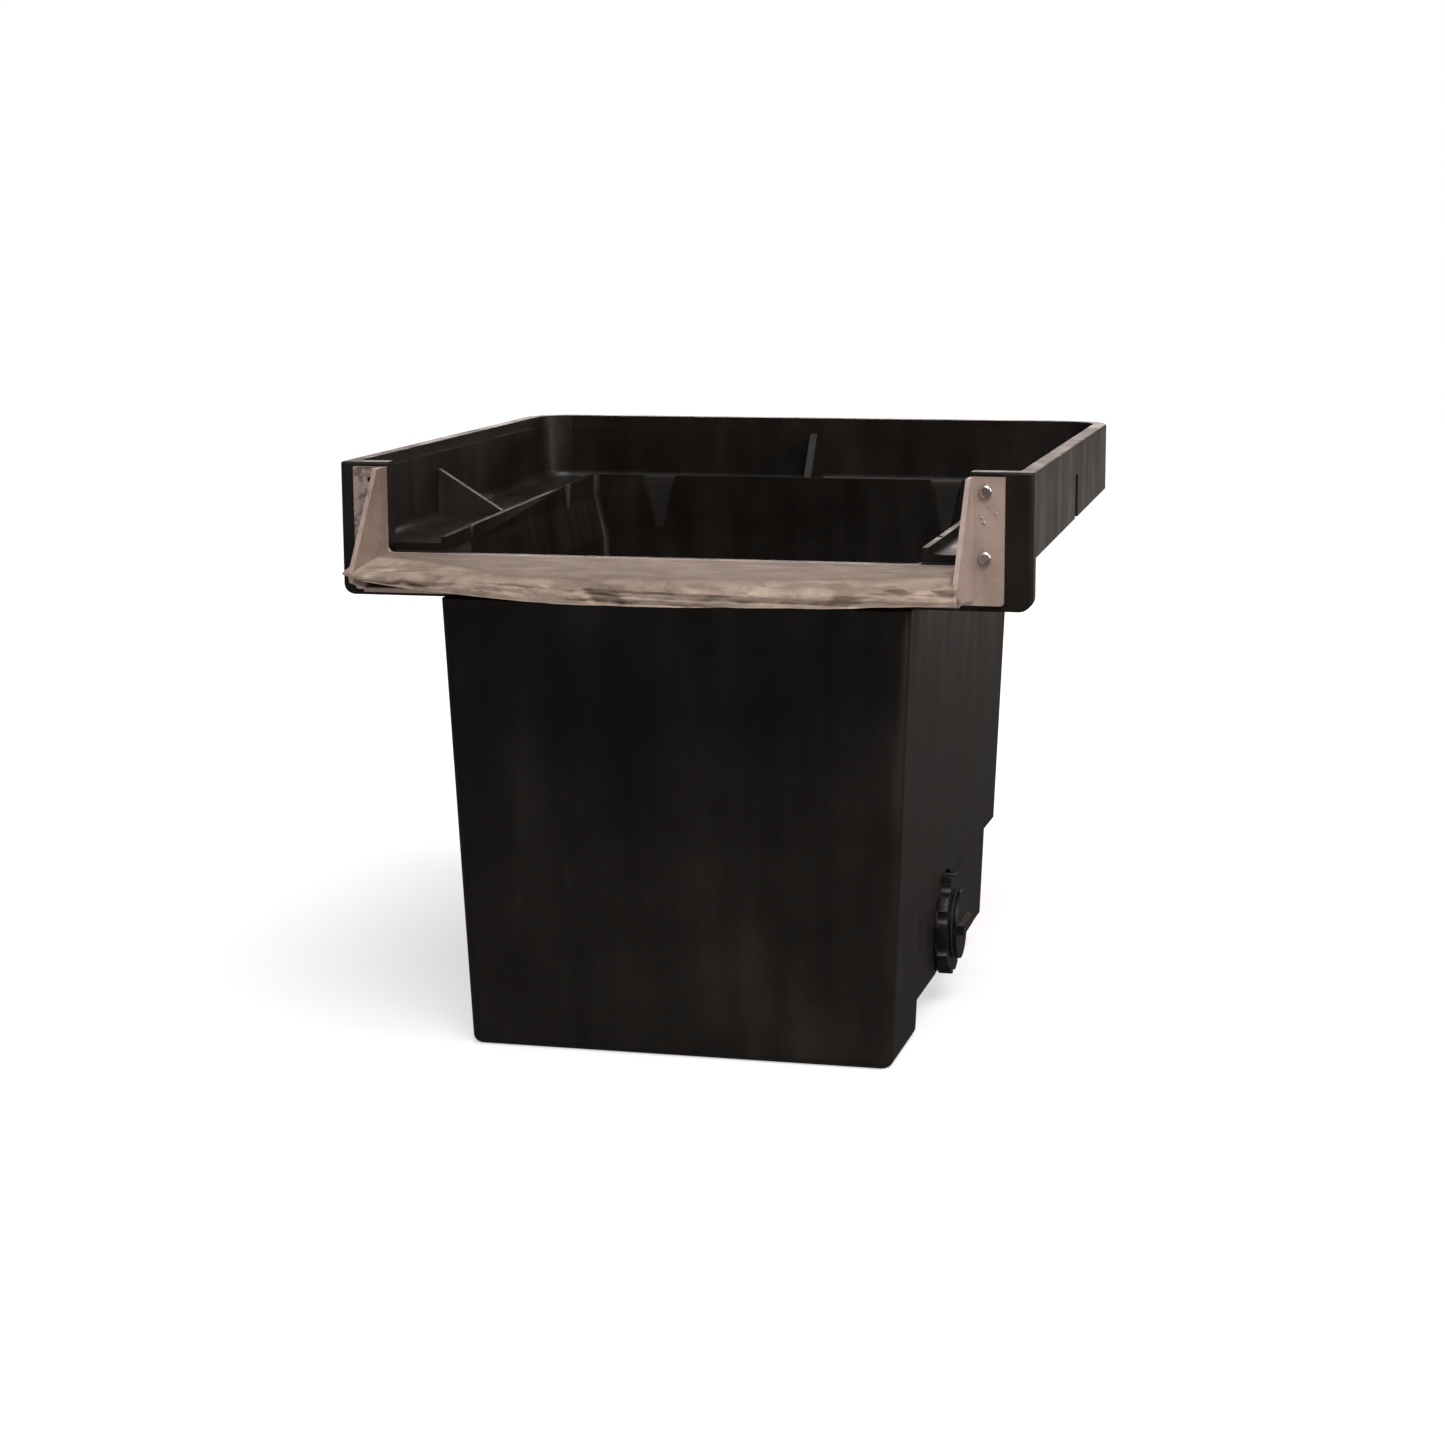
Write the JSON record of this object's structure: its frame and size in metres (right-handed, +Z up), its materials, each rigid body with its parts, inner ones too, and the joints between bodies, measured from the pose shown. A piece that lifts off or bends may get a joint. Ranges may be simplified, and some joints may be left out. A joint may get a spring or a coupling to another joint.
{
  "type": "spillway mixing tub",
  "caption": "Deep black moulded tub under a wide shelf tray, with a framed front opening, a projecting stone-look pouring lip and a side drain closed by a screw plug.",
  "frame": {"origin": "on the floor plane at the underside of the tub's plinth, midway between the two sides of the tub", "axes": "+Z up, -Y towards the pouring lip at the front, +X towards the side with the drain"},
  "size_m": [0.67, 0.795, 0.573],
  "materials": {
    "black_polyethylene": "moulded, faint satin sheen",
    "black_foam": "closed-cell foam strip",
    "taupe_moulding": "smooth moulded taupe",
    "cast_stone_lip": "cast resin with a split-stone texture",
    "stainless_screws": "stainless pan heads",
    "brass_inserts": "turned",
    "black_fitting": "injection moulded, semi-gloss",
    "black_rubber": "soft rubber",
    "slip_washer": "smooth"
  },
  "bodies": {
    "tub": {"tub_shell": "black_polyethylene", "frame_gasket": "black_foam", "spill_frame": "taupe_moulding", "spill_lip": "cast_stone_lip", "frame_screws": "stainless_screws", "post_inserts": "brass_inserts", "bulkhead_body": "black_fitting", "bulkhead_gasket": "black_rubber", "bulkhead_washer": "slip_washer", "bulkhead_nut": "black_fitting"},
    "seal_carrier": {"plug_seal": "black_rubber"},
    "plug": {"drain_plug": "black_fitting"}
  },
  "joints": [
    {"name": "plug_travel", "type": "slide", "parent": "tub", "child": "seal_carrier", "axis": [1, 0, 0], "range_m": [0, 0.0151]},
    {"name": "plug_turn", "type": "hinge", "parent": "seal_carrier", "child": "plug", "pos_m": [0.233, -0.041, 0.083], "axis": [1, 0, 0], "range_deg": [0, 1800]}
  ],
  "couplings": [
    {"joint": "plug_travel", "follows": "plug_turn", "m_per_rad": 0.00047746}
  ]
}
